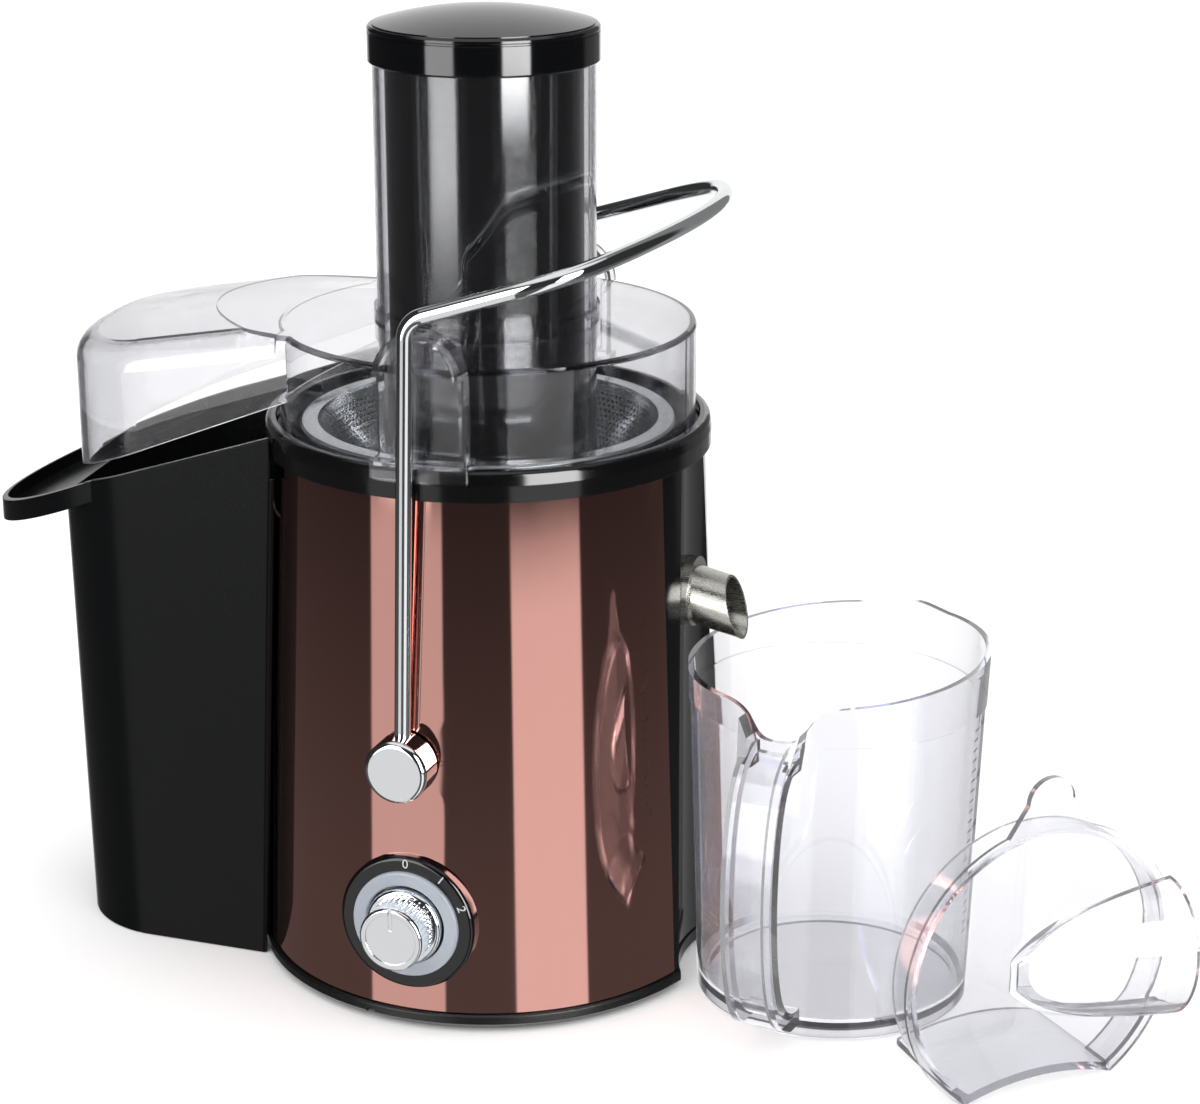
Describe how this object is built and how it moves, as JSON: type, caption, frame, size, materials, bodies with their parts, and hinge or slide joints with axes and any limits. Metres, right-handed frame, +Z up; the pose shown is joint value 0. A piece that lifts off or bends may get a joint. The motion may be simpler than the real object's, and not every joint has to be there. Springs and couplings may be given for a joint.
{
  "type": "centrifugal juicer",
  "caption": "Centrifugal juicer with a round motor base, clear lid and feed tube with pusher, locking bail, pulp container, juice jug and froth separator.",
  "frame": {"origin": "on the motor axis, on the surface the juicer stands on", "axes": "+Z up along the motor axis; -Y the front with the speed knob; +X towards the juice spout and jug; -X towards the pulp container"},
  "size_m": [0.4762, 0.199, 0.3576],
  "materials": {
    "rose_metal": "mirror-bright rose metallic panel",
    "black_gloss": "polished black ABS",
    "black_satin": "satin black ABS",
    "bright_chrome": "polished chrome",
    "steel_polished": "polished stainless sheet",
    "steel_mesh": "perforated stainless sheet",
    "clear_plastic": "clear moulded plastic",
    "smoke_plastic": "polished black plastic",
    "dial_light": "ribbed translucent ring",
    "rubber": "matt rubber",
    "laminated_steel": "stacked steel sheets",
    "copper_winding": "enamelled copper wire",
    "shaft_steel": "ground steel",
    "bearing_steel": "ground steel",
    "bronze": "sintered bronze",
    "carbon": "carbon in a brass holder",
    "white_plastic": "moulded nylon",
    "board_green": "circuit board",
    "zinc_screws": "zinc-plated steel"
  },
  "bodies": {
    "base": {"motor_housing": "black_gloss", "front_panel": "rose_metal", "top_ring": "black_gloss", "base_plate": "black_satin", "base_screws": "zinc_screws", "cord_gland": "rubber", "juice_bowl": "black_gloss", "bowl_seal": "rubber", "spout": "steel_polished", "stator": "laminated_steel", "bracket_lower": "zinc_screws", "bracket_upper": "zinc_screws", "bearing_lower": "bearing_steel", "bearing_upper": "bearing_steel", "motor_bolts": "zinc_screws", "circuit_board": "board_green", "rotary_switch": "white_plastic", "interlock_switch": "white_plastic", "dial_plate": "black_gloss", "dial_ring": "dial_light", "field_coil_front": "copper_winding", "field_coil_rear": "copper_winding", "pivot_bush_front": "bronze", "pivot_bush_rear": "bronze", "brush_left": "carbon", "brush_right": "carbon", "foot_1": "rubber", "motor_mount_1": "rubber", "foot_2": "rubber", "motor_mount_2": "rubber", "foot_3": "rubber", "motor_mount_3": "rubber", "foot_4": "rubber", "motor_mount_4": "rubber"},
    "rotor": {"motor_shaft": "shaft_steel", "armature": "laminated_steel", "commutator": "copper_winding", "fan": "white_plastic", "drive_coupling": "white_plastic", "sieve_base": "black_satin", "sieve_mesh": "steel_mesh", "sieve_rim": "steel_polished", "grater_disc": "steel_polished"},
    "knob": {"knob_base": "bright_chrome", "speed_knob": "bright_chrome"},
    "bail": {"bail_wire": "bright_chrome", "bail_cap_front": "bright_chrome", "bail_cap_rear": "bright_chrome"},
    "lid": {"lid_cover": "clear_plastic", "feed_tube": "clear_plastic"},
    "pusher": {"pusher_sleeve": "smoke_plastic", "pusher_cap": "smoke_plastic"},
    "container": {"pulp_container": "black_satin"},
    "jug_body": {"jug": "clear_plastic"},
    "froth_cover": {"jug_lid": "clear_plastic"}
  },
  "joints": [
    {"name": "sieve_spin", "type": "hinge", "parent": "base", "child": "rotor", "pos_m": [0, 0, 0.1], "axis": [0, 0, 1], "continuous": true},
    {"name": "speed_dial", "type": "hinge", "parent": "base", "child": "knob", "pos_m": [0, -0.09, 0.0408], "axis": [0, 1, 0], "range_deg": [0, 68]},
    {"name": "bail_swing", "type": "hinge", "parent": "base", "child": "bail", "pos_m": [0, 0, 0.102], "axis": [0, 1, 0], "range_deg": [0, 55]},
    {"name": "lid_lift", "type": "slide", "parent": "base", "child": "lid", "axis": [0, 0, 1], "range_m": [0, 0.1]},
    {"name": "pusher_slide", "type": "slide", "parent": "lid", "child": "pusher", "axis": [0, 0, 1], "range_m": [0, 0.165]},
    {"name": "container_slide", "type": "slide", "parent": "base", "child": "container", "axis": [-1, 0, 0], "range_m": [0, 0.15]},
    {"name": "jug_slide", "type": "slide", "parent": "base", "child": "jug_body", "axis": [0.6428, 0.766, 0], "range_m": [0, 0.12]},
    {"name": "cover_slide", "type": "slide", "parent": "base", "child": "froth_cover", "axis": [0.6947, -0.7193, 0], "range_m": [0, 0.1]}
  ]
}
